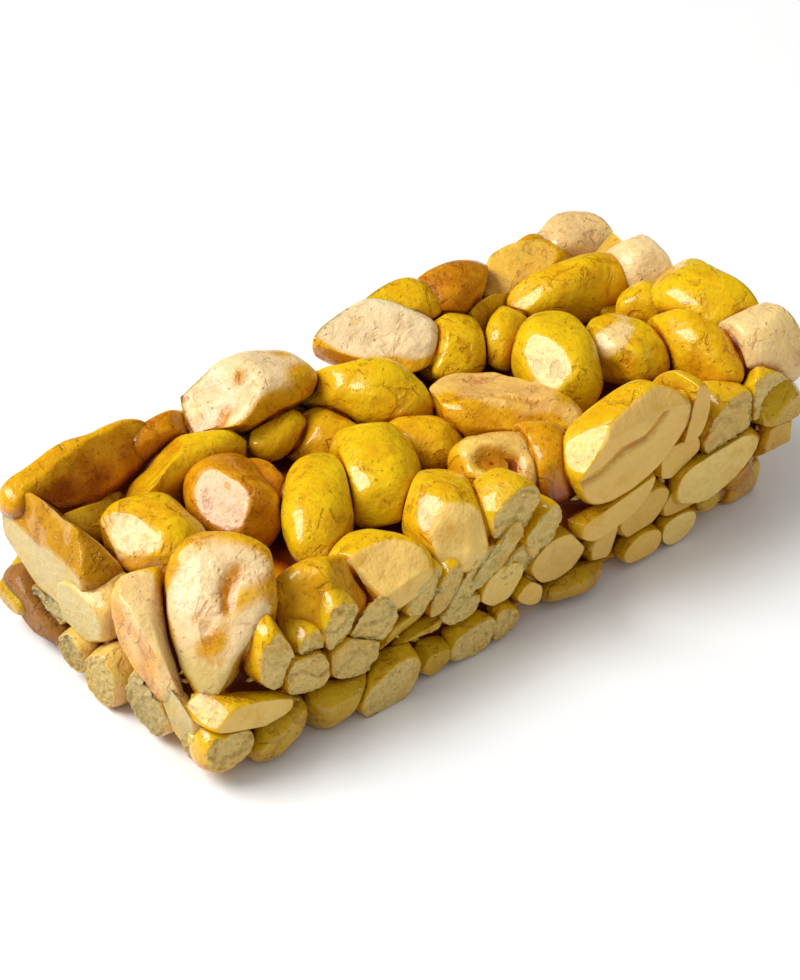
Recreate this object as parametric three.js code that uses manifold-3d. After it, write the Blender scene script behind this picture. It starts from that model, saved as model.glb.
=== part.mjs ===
import * as THREE from 'three';
import { mergeVertices } from 'three/addons/utils/BufferGeometryUtils.js';
import Module from 'manifold-3d';

// A knife-cut bar of peanut brittle, in millimetres, resting flat on z = 0.
// X runs along the bar, Y across it. The front side is -Y, the left end is -X.

// ---- driving dimensions -------------------------------------------------
const LENGTH = 80;              // knife cut to knife cut, along the bar
const WIDTH = 35;               // across the bar
const CORE_HEIGHT_LEFT = 11.6;  // caramel slab under the kernels, left end
const CORE_HEIGHT_RIGHT = 15.8; // the bar was rolled thicker on the right
const CORE_INSET = 1.5;         // the slab stands back from the cut sides
const CORE_ROUND = 1.4;         // rounding of the slab's upper edges
const CORE_RIPPLE = 0.35;       // wandering of the slab's skin
const CORE_GRID = [12, 5, 2];   // facets of the slab along, across and up
const KNIFE_MARGIN = 0.4;       // how far a kernel on top may pass a cut side
const SIDE_MARGIN = 2;          // the most a kernel in a cut side may pass it
const FACE_DEPTH = 8;           // kernel size measured into a cut side
const FULLNESS = 2.3;           // superellipsoid power of a kernel, 2 = egg
const TAPER = 0.12;             // one end of a kernel is slimmer
const FACET_SWELL = 1.035;      // lets flat facets straddle the round surface
const TOP_FACETS = [10, 6];     // round and along a kernel on top
const SIDE_FACETS = [8, 4];     // round and along a kernel in a cut side

const BRITTLE = { color: 0xd39a2a, roughness: 0.32, metalness: 0 };

// ---- kernels lying on top -----------------------------------------------
// x, y, z of the middle, length, width, height, heading and pitch in degrees,
// then how far the kernel may stand out past the cut sides
const TOP_KERNELS = [
  // left third
  [-33, -11.2, 12.7, 17.2, 11.2, 8.5, 230, -42, 2],
  [-30.5, 5, 13.2, 12.5, 9.5, 8.5, -84, 0],
  [-30.5, 17, 14.2, 20, 5.5, 8, 4, 2],
  [-20, 17.5, 14, 10, 5, 7, 0, 0],
  [-38, 10.5, 11.9, 16.5, 8, 11.5, 95, 0],
  [-21, 13.5, 13.3, 16, 6.5, 8, -6, 0],
  [-9.4, 16, 16.5, 17.2, 9, 7.5, 3, 0, 2],
  [-9.8, 11.2, 13.4, 8.5, 4.2, 5, 5, 0],
  [-20, 4.5, 13.2, 12.5, 9.5, 9, -100, 0],
  [-15, 4.5, 12.2, 10, 5, 7, -95, 0],
  [-23.5, -14, 12.7, 11, 7.5, 8, 0, 0],
  // middle third
  [-15.3, -3, 13.2, 16, 7.5, 8.5, -129, 0],
  [-6.5, -1.5, 13.2, 15.5, 8.8, 9, -120, 0],
  [2, 0.5, 12, 10, 7.5, 7.5, -60, 0],
  [-5, 9, 11.4, 9.5, 7, 7, -60, 0],
  [2.6, 12.5, 13.7, 16.5, 8.5, 8, -70, 0],
  [8, 17.6, 16.6, 15, 11, 7, -65, 0, 2],
  [15, 12, 14.2, 12, 8.5, 8, -120, 0],
  [13.5, 19, 17, 11, 8, 7.5, -40, 0, 2],
  [11.5, -1, 14.2, 17, 7.5, 8, -64, 0],
  [8.5, -11, 14.4, 10.5, 6.5, 9, -110, 0],
  [3.5, -8.5, 13.8, 9.5, 8.5, 8, -110, 0],
  [-6, -12.5, 14.2, 13, 8, 9, -115, 0],
  [-15.5, -14.5, 13.2, 12, 9, 8, -50, 0],
  // right third
  [20.5, 17.5, 16.5, 13, 7, 7.5, 8, 0, 2],
  [31, 16.8, 16.2, 15.5, 6.5, 7, -8, 0, 2],
  [33, 19, 16.2, 9, 6, 6, 0, 0, 2],
  [34, 9.5, 15.6, 19, 6.5, 8, -14, 0],
  [21.5, 9.3, 14.2, 10, 4.5, 7, 213, 0],
  [20.5, -0.5, 15.4, 14.5, 8.8, 9.5, -117, 0],
  [28.5, -3, 15.4, 10.5, 8, 8, -81, 0],
  [34, -8.5, 16.2, 14.5, 6.3, 8, -92, 0],
  [41, -3.7, 18, 13, 11, 8.5, -90, 0, 2],
  [40.8, 7.3, 17.8, 9.5, 8, 8, -90, 0, 2],
  [41, 13.4, 16.4, 8, 6, 7, -60, 0, 2],
  [40, 17.3, 17, 13.5, 9, 8, -20, 0, 2],
  [40.5, -13, 16.9, 12, 10, 9.5, -60, 0, 2],
  [15.2, -16, 16, 17.5, 8.5, 10.5, 0, 15, 0.8],
];

// ---- kernels sliced through by the cut sides ------------------------------
// along the side, height of the middle, long and short size, turn in degrees,
// how far it stands proud of the cut, and the share of it that was cut away
const FRONT_KERNELS = [
  // lower edge
  [-37.8, 3.8, 6.2, 5, 0, 0.9, 0.3],
  [-31.8, 2.8, 8, 5.6, 22, 1.8, 0.05],
  [-24.2, 2.6, 8.6, 5.6, 3, 1.9, 0],
  [-18.2, 2.4, 9.4, 5.8, 22, 2.0, 0.35],
  [-12, 1.8, 6.6, 4, 5, 1.2, 0.1],
  [-7.4, 2.2, 7, 4.8, 12, 1.3, 0.4],
  [-2.8, 2.4, 4.8, 4.4, 25, 1.2, 0.35],
  [1.2, 3.8, 4, 4.2, 20, 0.8, 0.4],
  [7.8, 2.1, 9.6, 4.4, 3, 1.9, 0],
  [17.6, 2.4, 6, 4.4, 5, 0.8, 0.35],
  [23.2, 2.4, 6.4, 4.4, 5, 0.6, 0.35],
  [29, 2.8, 6.6, 4, 0, 0.1, 0.05],
  [34.6, 4.2, 6.6, 4.6, 15, 0.2, 0.05],
  // middle
  [-35.8, 7.4, 12, 4, -8, 1.0, 0.3],
  [-28.2, 8, 5.4, 4.2, -5, 0.6, 0.45],
  [-22.4, 7.4, 5.6, 5, -15, 0.5, 0.5],
  [-15.5, 7.6, 8.4, 3.2, 20, 0.2, 0.05],
  [-13.5, 5.6, 8, 3, 12, 0.5, 0.05],
  [-8.2, 6.2, 5.2, 3.6, 10, 0.3, 0.4],
  [-2.6, 6.6, 5.4, 4.4, 10, 0.3, 0.45],
  [5, 6.4, 7, 5, 6, 0.5, 0.45],
  [12.2, 5.2, 6.4, 4.2, 50, 0.3, 0.1],
  [13.6, 9.4, 10, 4.4, 18, 0.8, 0.4],
  [18.2, 6.6, 7.6, 4.8, 18, 0.3, 0.3],
  [24, 6, 7, 4.6, -8, 0.3, 0.3],
  [28.8, 8.2, 11, 5.6, 8, 1.0, 0.35],
  [35, 7.4, 6.4, 4.2, 5, 0.3, 0.05],
  [37.6, 10, 5.4, 4, 0, 0.6, 0.1],
  // under the kernels on top
  [-31.5, 11, 6.5, 4, 85, 0.2, 0.3],
  [-27, 10.8, 4, 3, -10, 0, 0.2],
  [-23.6, 11.6, 5.2, 4, 60, 0.3, 0.4],
  [-19.8, 10.4, 6, 5.2, 25, 0.4, 0.45],
  [-12.4, 11.6, 4.6, 3, 60, 0.2, 0.5],
  [-9.8, 10.4, 6, 3.6, 62, 0.4, 0.5],
  [-5, 8.6, 6, 3, 12, 0.4, 0.5],
  [-3.4, 11, 6.6, 4, 38, 0.4, 0.5],
  [1.6, 8.6, 6, 3.2, 18, 0.2, 0.5],
  [2.2, 11.4, 6, 4.2, 30, 0.6, 0.5],
  [24.2, 16.4, 6.2, 4.6, 78, 0.4, 0.45],
  [22.8, 12, 6, 5, 20, 0.1, 0.35],
  [30.4, 12.8, 7.4, 5.4, 45, 0.5, 0.4],
  [36.6, 14.2, 6.2, 5, 5, 0.8, 0.4],
];
const LEFT_KERNELS = [
  [13, 3.2, 13.5, 6.4, -4, 2.0, 0.1],
  [10, 6.2, 6, 4, 5, 0.3, 0.4],
  [3.4, 8.8, 7.6, 6, 5, 0.7, 0.3],
  [4.4, 3.6, 6, 5, 0, 1.4, 0.4],
  [-1, 3.8, 6.4, 7, 15, 1.6, 0.4],
  [-8.4, 4.4, 7, 6.6, 18, 0.8, 0.35],
  [-12.8, 6.4, 7, 5.4, 60, 0.5, 0.3],
  [-15.4, 3.4, 4, 4.8, 30, 0.6, 0.2],
  [-7.6, 12, 12, 6.4, 45, 1.0, 0.2],
];

// The back side and the right end are filled by rule. A pair is a value's
// lowest and highest; PROUD pairs run from the table up to the slab's top.
const RULED_STEP = 10;          // about one kernel each step along the side
const RULED_LAYERS = 3;
const RULED_SEED = 7;
const RULED_SHIFT = [-0.15, 0.15];  // shares of a step
const RULED_RISE = [0.45, 0.65];    // shares of a layer
const RULED_LONG = [0.95, 1.3];     // shares of a step
const RULED_SHORT = [0.95, 1.25];   // shares of a layer
const RULED_TURN = [-30, 30];       // degrees
const RULED_UNEVEN = [-0.4, 0.4];   // added to how proud a kernel stands
const RULED_CUT = [0, 0.5];         // share cut away
const BACK_PROUD = [0.2, 0.9];
const RIGHT_PROUD = [-2.6, 1.2];

// ---- helpers --------------------------------------------------------------
const wasm = await Module();
wasm.setup();

function seeded(seed) {
  let state = seed >>> 0;
  return () => {
    state = (Math.imul(state, 1664525) + 1013904223) >>> 0;
    return state / 4294967296;
  };
}

function toSolid(geometry) {
  const plain = geometry.clone();
  plain.deleteAttribute('normal');
  plain.deleteAttribute('uv');
  const merged = mergeVertices(plain, 1e-5);
  return new wasm.Manifold(new wasm.Mesh({
    numProp: 3,
    vertProperties: new Float32Array(merged.attributes.position.array),
    triVerts: new Uint32Array(merged.index.array),
  }));
}

function toGeometry(solid) {
  const mesh = solid.getMesh();
  const geometry = new THREE.BufferGeometry();
  geometry.setAttribute('position', new THREE.BufferAttribute(mesh.vertProperties, 3));
  geometry.setIndex(new THREE.BufferAttribute(mesh.triVerts, 1));
  geometry.computeVertexNormals();
  return geometry;
}

// Runs a function over every vertex of a geometry, changing it in place
function reshape(geometry, change) {
  const position = geometry.attributes.position;
  const point = new THREE.Vector3();
  for (let i = 0; i < position.count; i += 1) {
    point.fromBufferAttribute(position, i);
    change(point);
    position.setXYZ(i, point.x, point.y, point.z);
  }
  return geometry;
}

// Height of the caramel slab at a place along the bar
function coreHeight(x) {
  const share = x / LENGTH + 0.5;
  return CORE_HEIGHT_LEFT + (CORE_HEIGHT_RIGHT - CORE_HEIGHT_LEFT) * share;
}

// A closed kernel lying along X: fuller than an egg, slimmer towards +X
function kernelGeometry(size, [around, lengthwise]) {
  const half = size.clone().multiplyScalar(FACET_SWELL / 2);
  const ball = new THREE.SphereGeometry(1, around, lengthwise).rotateZ(-Math.PI / 2);
  return reshape(ball, (p) => {
    const power = Math.abs(p.x) ** FULLNESS + Math.abs(p.y) ** FULLNESS + Math.abs(p.z) ** FULLNESS;
    p.multiplyScalar(power ** (-1 / FULLNESS));
    const slim = 1 - TAPER * p.x;
    p.set(p.x * half.x, p.y * half.y * slim, p.z * half.z * slim);
  });
}

// Presses a kernel flat where it would pass the cut sides or the table
function trim(geometry, margin) {
  const reachX = LENGTH / 2 + margin;
  const reachY = WIDTH / 2 + margin;
  return reshape(geometry, (p) => {
    p.x = THREE.MathUtils.clamp(p.x, -reachX, reachX);
    p.y = THREE.MathUtils.clamp(p.y, -reachY, reachY);
    p.z = Math.max(p.z, 0);
  });
}

function topKernel([x, y, z, length, width, height, heading, pitch, margin = KNIFE_MARGIN]) {
  const kernel = kernelGeometry(new THREE.Vector3(length, width, height), TOP_FACETS);
  kernel.rotateY(THREE.MathUtils.degToRad(-pitch));
  kernel.rotateZ(THREE.MathUtils.degToRad(heading));
  kernel.translate(x, y, z);
  return trim(kernel, margin);
}

// A kernel in a cut side. It is made as if the side faced -Y, then the side
// is turned about Z to where it belongs, `reach` away from the middle.
function sideKernel([along, up, long, short, turn, proud, cutShare], side, reach) {
  const kernel = kernelGeometry(new THREE.Vector3(long, FACE_DEPTH, short), SIDE_FACETS);
  kernel.rotateY(THREE.MathUtils.degToRad(-turn));
  const cut = -(reach + proud);
  kernel.translate(along, cut + (1 - cutShare) * FACE_DEPTH / 2, up);
  reshape(kernel, (p) => {
    p.y = Math.max(p.y, cut);
  });
  return trim(kernel.rotateZ(side), SIDE_MARGIN);
}

// The left end is written down as seen from the middle of the bar
function mirrored([along, up, long, short, turn, ...rest]) {
  return [-along, up, long, short, -turn, ...rest];
}

// Kernels for a side nobody arranged by hand: layers of them, each jittered
function ruledKernels(random, span, heightAt, proudRange) {
  const between = ([low, high], share) => low + (high - low) * share;
  const kernels = [];
  const count = Math.round(span / RULED_STEP);
  for (let layer = 0; layer < RULED_LAYERS; layer += 1) {
    for (let i = 0; i < count; i += 1) {
      const step = i + 0.5 + between(RULED_SHIFT, random());
      const along = step * span / count - span / 2;
      const rise = heightAt(along) / RULED_LAYERS;
      const up = (layer + between(RULED_RISE, random())) * rise;
      const long = RULED_STEP * between(RULED_LONG, random());
      const short = rise * between(RULED_SHORT, random());
      const turn = between(RULED_TURN, random());
      const lean = between(proudRange, up / heightAt(along));
      const proud = lean + between(RULED_UNEVEN, random());
      const cutShare = between(RULED_CUT, random());
      kernels.push([along, up, long, short, turn, proud, cutShare]);
    }
  }
  return kernels;
}

// The slab of set caramel that holds the kernels: flat underneath, a slightly
// wandering skin, upper edges rounded over
function coreGeometry() {
  const across = WIDTH - 2 * CORE_INSET;
  const along = LENGTH - 2 * CORE_INSET;
  const slab = new THREE.BoxGeometry(along, across, 1, ...CORE_GRID);
  const close = 0.01;
  return reshape(slab, (p) => {
    const share = p.z + 0.5;
    const atEnd = Math.abs(p.x) > along / 2 - close;
    const atSide = Math.abs(p.y) > across / 2 - close;
    const drop = atEnd || atSide ? CORE_ROUND : 0;
    const wave = Math.sin(0.55 * p.x + 1.3) * Math.cos(0.7 * p.y + 9 * share);
    const ripple = CORE_RIPPLE * wave;
    const pull = share > 1 - close ? 1 - CORE_ROUND / across : 1;
    p.z = share * (coreHeight(p.x) - drop + ripple);
    p.x *= pull;
    p.y *= pull;
    if (atSide) p.y += ripple * share * Math.sign(p.y);
  });
}

// ---- the bar ----------------------------------------------------------------
const FRONT = 0;
const LEFT = -Math.PI / 2;
const BACK = Math.PI;
const RIGHT = Math.PI / 2;

const random = seeded(RULED_SEED);
const backKernels = ruledKernels(random, LENGTH, (along) => coreHeight(-along), BACK_PROUD);
const rightKernels = ruledKernels(random, WIDTH, () => CORE_HEIGHT_RIGHT, RIGHT_PROUD);
const kernels = [
  ...TOP_KERNELS.map(topKernel),
  ...FRONT_KERNELS.map((kernel) => sideKernel(kernel, FRONT, WIDTH / 2)),
  ...LEFT_KERNELS.map((kernel) => sideKernel(mirrored(kernel), LEFT, LENGTH / 2)),
  ...backKernels.map((kernel) => sideKernel(kernel, BACK, WIDTH / 2)),
  ...rightKernels.map((kernel) => sideKernel(kernel, RIGHT, LENGTH / 2)),
];

let bar = toSolid(coreGeometry());
for (const kernel of kernels) {
  bar = bar.add(toSolid(kernel));
}
// Kernels can shut small hollows in between them. Only the outer skin is kept,
// so the hollows are filled.
const skins = bar.decompose();
bar = skins.reduce((outer, skin) => (skin.volume() > outer.volume() ? skin : outer));

const brittleBar = new THREE.Mesh(toGeometry(bar), new THREE.MeshStandardMaterial(BRITTLE));
brittleBar.name = 'brittle_bar';

const part = new THREE.Group();
part.name = 'peanut_brittle_bar';
part.add(brittleBar);

export default part;
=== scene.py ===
"""A knife-cut bar of peanut brittle: peanut kernels set in glossy amber caramel.

Lengths in the tables and in the shape functions are millimetres, and become
metres when a mesh is made. X runs along the bar, Y across it, Z up. The front
cut side is -Y, the left end is -X, and the underside rests on z = 0.
"""

import math

import bmesh
import bpy
import numpy as np
from bpy.props import FloatProperty, FloatVectorProperty, IntProperty, PointerProperty
from mathutils import Matrix, Vector, noise
from mathutils.bvhtree import BVHTree


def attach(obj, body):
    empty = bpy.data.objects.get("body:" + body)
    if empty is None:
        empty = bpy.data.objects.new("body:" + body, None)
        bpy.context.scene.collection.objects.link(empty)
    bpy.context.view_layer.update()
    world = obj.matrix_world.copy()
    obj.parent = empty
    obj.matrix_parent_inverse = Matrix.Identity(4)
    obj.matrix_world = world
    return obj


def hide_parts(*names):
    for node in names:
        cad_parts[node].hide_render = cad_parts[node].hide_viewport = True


bl_info = {
    "name": "Peanut Brittle Bar",
    "version": (1, 0, 0),
    "blender": (4, 5, 0),
    "location": "3D View > Sidebar > Brittle",
    "description": "Builds a knife-cut bar of peanut brittle with its caramel and kernels",
    "category": "Object",
}

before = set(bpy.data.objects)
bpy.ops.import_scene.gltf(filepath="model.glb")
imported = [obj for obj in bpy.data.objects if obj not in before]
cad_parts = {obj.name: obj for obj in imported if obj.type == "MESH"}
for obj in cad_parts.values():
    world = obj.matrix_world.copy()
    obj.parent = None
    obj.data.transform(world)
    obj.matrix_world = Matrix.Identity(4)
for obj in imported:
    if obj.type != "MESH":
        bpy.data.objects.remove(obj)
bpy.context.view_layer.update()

NODE = "brittle_bar"
BODY = "root"
MM = 0.001

# ---- the bar ----
LENGTH = 80
WIDTH = 35
CORE_HEIGHT_LEFT = 11.6
CORE_HEIGHT_RIGHT = 15.8
CORE_INSET = 1.5
CORE_ROUND = 1.4
CORE_RIPPLE = 0.35
CORE_DROP = 2.5
CORE_CUTS = 31
# No two kernels end on quite the same plane, so that faces never coincide
PLANE_STEP = 0.013
PLANE_STEPS = 17

# The caramel is drawn from kernels that are this much smaller, and at a cut
# face that many times as much
CARAMEL_SUNK = 0.3
CARAMEL_SUNK_FACE = 1.7
CARAMEL_FLOOR = 0.06
CREVICE_ROUNDS = 60
CREVICE_EDGE = (-0.3, 0.45)

# How finely the spheres are divided that the pieces start from
KERNEL_DETAIL = 5
UNDERSIDE_DETAIL = 4
CARAMEL_DETAIL = 4
CRUMB_DETAIL = 1

# A smooth random field is a sum of this many waves, of lengths within these shares
WAVE_COUNT = 12
WAVE_SPREAD = (0.7, 1.5)

# Kernels on top: x, y, z of the middle, length, width, height, heading and
# pitch in degrees, how far it may pass the cut sides, then its look
TOP_KERNELS = [
    # left third
    (-33, -11.2, 12.7, 17.2, 10.6, 8.5, 230, -42, 2, "corner"),
    (-30.5, 4.2, 12.3, 12.5, 9.5, 8.5, -84, 0, 0.4, "patched"),
    (-30.5, 17.2, 14.2, 20, 5.6, 8.4, 4, 0, 2, "amber_ridge"),
    (-20, 17.5, 14, 10, 5, 7, 0, 0, 0.4, "amber"),
    (-38, 10.5, 11.9, 16.5, 8, 11.5, 95, 0, 0.4, "left_end_top"),
    (-21.5, 12.6, 13.3, 17, 6.2, 8, -4, 0, 0.4, "gold_ridge"),
    (-10.2, 15.9, 16.4, 18, 9.6, 7.5, 3, 0, 2, "pale_large"),
    (-9.8, 11.2, 13.4, 8.5, 4.2, 5, 5, 0, 0.4, "gold"),
    (-20.7, 3.9, 12.9, 12.5, 9, 9, -100, 0, 0.4, "amber_dark"),
    (-16.8, 4.2, 12.4, 9, 4.6, 7, -98, 0, 0.4, "amber"),
    (-23.5, -14, 12.7, 11, 7.5, 8, 0, 0, 0.4, "wedge"),
    # middle third
    (-15.3, -3, 13.2, 16, 7.5, 8.5, -129, 0, 0.4, "lemon"),
    (-6.5, -1.5, 13.2, 15.5, 8.8, 9, -120, 0, 0.4, "yellow"),
    (2, 0.5, 12, 10, 7.5, 7.5, -60, 0, 0.4, "gold_rough"),
    (-5, 9, 11.4, 9.5, 7, 7, -60, 0, 0.4, "gold_rough"),
    (1.8, 10.9, 14.6, 17.4, 8.5, 8, -66, -6, 0.4, "gold_edge"),
    (8.2, 17.3, 16.1, 16.5, 11, 7, -65, 0, 2, "cream_flat"),
    (15, 12, 14.2, 12, 8.5, 8, -120, 0, 0.4, "lemon"),
    (13.5, 19, 17, 11, 8, 7.5, -40, 0, 2, "yellow"),
    (11.3, -2.2, 14.6, 18.5, 8.8, 8.6, -64, 0, 0.4, "half_groove"),
    (8.7, -11, 13.4, 10.5, 6.8, 9, -110, 0, 0.4, "amber_lobe"),
    (4.1, -9, 13.7, 9.5, 8.8, 8, -110, 0, 0.4, "hollow"),
    (-6, -12.5, 13.1, 13, 8, 9, -115, 0, 0.4, "cut_end"),
    (-15.9, -14, 12.4, 11, 9, 8, -50, 0, 0.4, "cut_face"),
    # right third
    (20.5, 17.5, 16.5, 13, 7, 7.5, 8, 0, 2, "orange"),
    (31, 16.8, 16.2, 15.5, 6.5, 7, -8, 0, 2, "gold_flat"),
    (33, 19, 16.2, 9, 6, 6, 0, 0, 2, "amber_light"),
    (34.6, 9.4, 15.8, 20.6, 6.8, 8, -14, 0, 0.4, "gold_long"),
    (21.5, 9.3, 14.2, 10, 4.5, 7, 213, 0, 0.4, "gold_long"),
    (20.5, -0.5, 15.4, 14.5, 8.8, 9.5, -117, -12, 0.4, "yellow_flat"),
    (28.5, -3, 15.4, 10.5, 8, 8, -81, 0, 0.4, "lumpy"),
    (34, -8.5, 16.2, 14.5, 6.3, 8, -92, 0, 0.4, "gold"),
    (40.4, -4.2, 17.6, 14.6, 11, 8.8, -90, 0, 2, "pitted_yellow"),
    (40.8, 7.3, 17.1, 9.5, 8, 8, -90, 0, 2, "cream"),
    (41, 13.4, 16.4, 8, 6, 7, -60, 0, 2, "gold_flat"),
    (40, 17.3, 16.4, 13.5, 9, 8, -20, 0, 2, "peach"),
    (39.9, -13, 16.9, 11, 10, 9.5, -60, 0, 2, "cream_corner"),
    (15.8, -16, 16, 16.6, 8.5, 10.5, 0, 15, 0.8, "split"),
    (36.6, 1.2, 16.2, 8.5, 6, 6.5, -50, 0, 0.4, "yellow"),
]

# Kernels in a cut side: along it, height of the middle, long and short size,
# turn, how far it stands proud, the share cut away, then its look
FRONT_LOW = [
    (-37.8, 3.8, 6.2, 5, 0, 0.9, 0.3, "broken"),
    (-31.8, 2.8, 8, 5.6, 22, 1.8, 0.05, "olive"),
    (-24.2, 2.6, 8.6, 5.6, 3, 1.9, 0, "olive"),
    (-18.2, 2.4, 9.4, 5.8, 22, 2.0, 0.35, "porous"),
    (-12, 1.8, 6.6, 4, 5, 1.2, 0.1, "olive"),
    (-7.4, 2.2, 7, 4.8, 12, 1.3, 0.4, "porous"),
    (-2.8, 2.4, 4.8, 4.4, 25, 1.2, 0.35, "broken"),
    (1.2, 3.8, 4, 4.2, 20, 0.8, 0.4, "sliced"),
    (7.8, 2.1, 9.6, 4.4, 3, 1.9, 0, "olive_brown"),
    (17.6, 2.4, 6, 4.4, 5, 0.8, 0.35, "sliced"),
    (23.2, 2.4, 6.4, 4.4, 5, 0.6, 0.35, "sliced"),
    (29, 2.8, 6.6, 4, 0, 0.1, 0.05, "olive"),
    (33.6, 4.2, 6, 4.6, 15, 0.2, 0.05, "amber_side"),
    (-34.8, 6.7, 9.4, 3.3, -8, 1.0, 0.3, "sliced"),
    (-28.2, 8, 5.4, 4.2, -5, 0.6, 0.45, "broken"),
    (-22.4, 7.4, 5.6, 5, -15, 0.5, 0.5, "broken"),
    (-15.5, 7.6, 8.4, 3.2, 20, 0.2, 0.05, "olive"),
    (-13.5, 5.6, 8, 3, 12, 0.5, 0.05, "olive"),
    (-8.2, 6.2, 5.2, 3.6, 10, 0.3, 0.4, "porous"),
    (-2.6, 6.6, 5.4, 4.4, 10, 0.3, 0.45, "sliced"),
    (5, 6.4, 7, 5, 6, 0.5, 0.45, "tan"),
    (12.2, 5.2, 6.4, 4.2, 50, 0.3, 0.1, "tan"),
    (13.6, 9.4, 10, 4.4, 18, 0.8, 0.4, "sliced"),
    (18.2, 6.6, 7.6, 4.8, 18, 0.3, 0.3, "tan"),
    (24, 6, 7, 4.6, -8, 0.3, 0.3, "tan"),
    (28.8, 8.2, 11, 5.6, 8, 1.0, 0.35, "sliced"),
    (33.8, 7.6, 5.8, 4.2, 5, 0.3, 0.05, "amber_side"),
    (36.2, 10.4, 4.8, 4, 0, 0.6, 0.1, "sliced"),
]
FRONT_HIGH = [
    (-31.5, 11, 6.5, 4, 85, 0.2, 0.3, "flaky"),
    (-27, 10.8, 4, 3, -10, 0, 0.2, "flaky"),
    (-23.6, 11.6, 5.2, 4, 60, 0.3, 0.4, "broken"),
    (-19.8, 10.4, 6, 5.2, 25, 0.4, 0.45, "broken"),
    (-13, 10.6, 5.6, 2.6, 62, 0.2, 0.5, "flaky"),
    (-10.2, 9.6, 5.6, 2.8, 60, 0.4, 0.5, "flaky"),
    (-6.6, 9.4, 7.4, 2.6, 40, 0.3, 0.5, "flaky"),
    (-3.6, 10.6, 7.4, 3, 44, 0.5, 0.5, "flaky"),
    (-0.9, 14.6, 6.2, 4.4, 30, 0.1, 0.4, "broken"),
    (0.6, 8.8, 6.4, 3.0, 30, 0.2, 0.5, "broken"),
    (2.6, 11.2, 5.4, 3, 46, 0.6, 0.5, "flaky"),
    (24.2, 16.4, 6.2, 4.6, 78, 0.4, 0.45, "sliced"),
    (22.8, 12, 6, 5, 20, 0.1, 0.35, "sliced"),
    (30.4, 12.8, 7.4, 5.4, 45, 0.5, 0.4, "broken"),
    (36, 14.4, 6, 5, 5, 0.8, 0.4, "broken"),
]
LEFT_KERNELS = [
    (11.8, 3.6, 15.5, 5, 16, 1.4, 0.1, "russet"),
    (10, 6.2, 6, 4, 5, 0.3, 0.4, "chalky_broken"),
    (3.4, 8.8, 7.6, 6, 5, 0.7, 0.3, "chalky"),
    (4.4, 3.6, 6, 5, 0, 1.4, 0.4, "chalky_broken"),
    (-1, 3.8, 6.4, 7, 15, 1.6, 0.4, "chalky_porous"),
    (-8.4, 4.4, 7, 6.6, 18, 0.8, 0.35, "chalky_broken"),
    (-12.8, 6.4, 7, 5.4, 60, 0.5, 0.3, "chalky"),
    (-15.4, 3.4, 4, 4.8, 30, 0.6, 0.2, "chalky_broken"),
    (-7.6, 11, 11, 6.4, 45, 1.0, 0.2, "peach_side"),
]

# The back side and the right end are filled by rule, as pairs of a value's
# lowest and highest
RULED_STEP = 10
RULED_LAYERS = 3
RULED_SEED = 7
RULED_SHIFT = (-0.15, 0.15)
RULED_RISE = (0.45, 0.65)
RULED_LONG = (0.95, 1.3)
RULED_SHORT = (0.95, 1.25)
RULED_TURN = (-30, 30)
RULED_UNEVEN = (-0.4, 0.4)
RULED_CUT = (0, 0.5)
RULED_LOOKS = ("sliced", "broken", "olive", "porous", "sliced", "tan", "flaky", "olive_brown")
BACK_PROUD = (0.2, 0.9)
RIGHT_PROUD = (-3.6, 0.8)

# The underside: rows and columns of kernels, how far apart and how high their
# middles lie, their least sizes and how much they grow, and how far they stray
UNDERSIDE_COLUMNS = 8
UNDERSIDE_ROWS = 5
UNDERSIDE_PITCH = (9.2, 6.2)
UNDERSIDE_HEIGHT = 2.1
UNDERSIDE_SIZE = (8.5, 5.6, 5)
UNDERSIDE_GROWTH = (2.5, 1.6)
UNDERSIDE_STRAY = 0.3
UNDERSIDE_STAGGER = 0.25
UNDERSIDE_TURN = 70
UNDERSIDE_MARGIN = -0.6
UNDERSIDE_SEED = 31
UNDERSIDE_LOOKS = ("yellow", "olive", "gold", "lemon", "amber_lobe")

# Crumbs lie beyond these distances from the middle, in crevices this deep
# that face this little up or down, and between these heights over the table
# and under the top
CRUMB_BEYOND = (37.5, 15.5)
CRUMB_DEPTH = 0.3
CRUMB_LEAN = 0.6
CRUMB_HEIGHTS = (1.2, 1)
CRUMB_LENGTH = 1.3
CRUMB_BREAKS = 9
CRUMB_FLOOR = 0.05
CRUMB_SEED = 77
CRUMB_FINISH = {"tone": 0.3, "cut": 0.8, "grain": 1.0, "rise": 1.0, "toast": 0.4}

# The form of a kernel: how boxy, how much a cut one crowds towards its face,
# the waves over it, and the flat spots pressed into one on top and into one in
# a cut side (how many, and how near the middle they lie as shares of its reach)
FULLNESS = 2.3
CROWDING = 0.5
LARGE_WAVE = 0.25
SMALL_WAVE = (0.02, 0.13)
FACETS = ((4, 0.88, 1.0), (6, 0.78, 0.95))
FACET_STRAY = 0.6
FACET_LEAN = 0.35
FACET_SOFTNESS = 0.8
TOP_SWELL = 1.05
SIDE_SWELL = (1.15, 1.46)
SWELL_HEIGHTS = (3, 7)
SIDE_MARGIN = 2
FACE_DEPTH = 8

# Flats, and what the knife did to kernels that pass a cut side
FLAT_WAVE = 0.15
FLAT_EDGE = 0.25
FLAT_SOFTNESS = 0.35
KNIFE_WAVE = 0.08
KNIFE_EDGE = 0.3
KNIFE_FRESH = 0.9

# Where kernels meet: the gap between them, how round its edges are, how deep
# two may overlap (as a share of the smaller one's half thickness) before they
# are left to run into each other, and how much a kernel on top and one in a
# cut side give way
CONTACT_GAP = 0.14
CONTACT_SOFTNESS = 0.16
CONTACT_LIMIT = 1.15
CONTACT_YIELDS = (0.2, 1.0)
CONTACT_WAYS = 400

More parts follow.
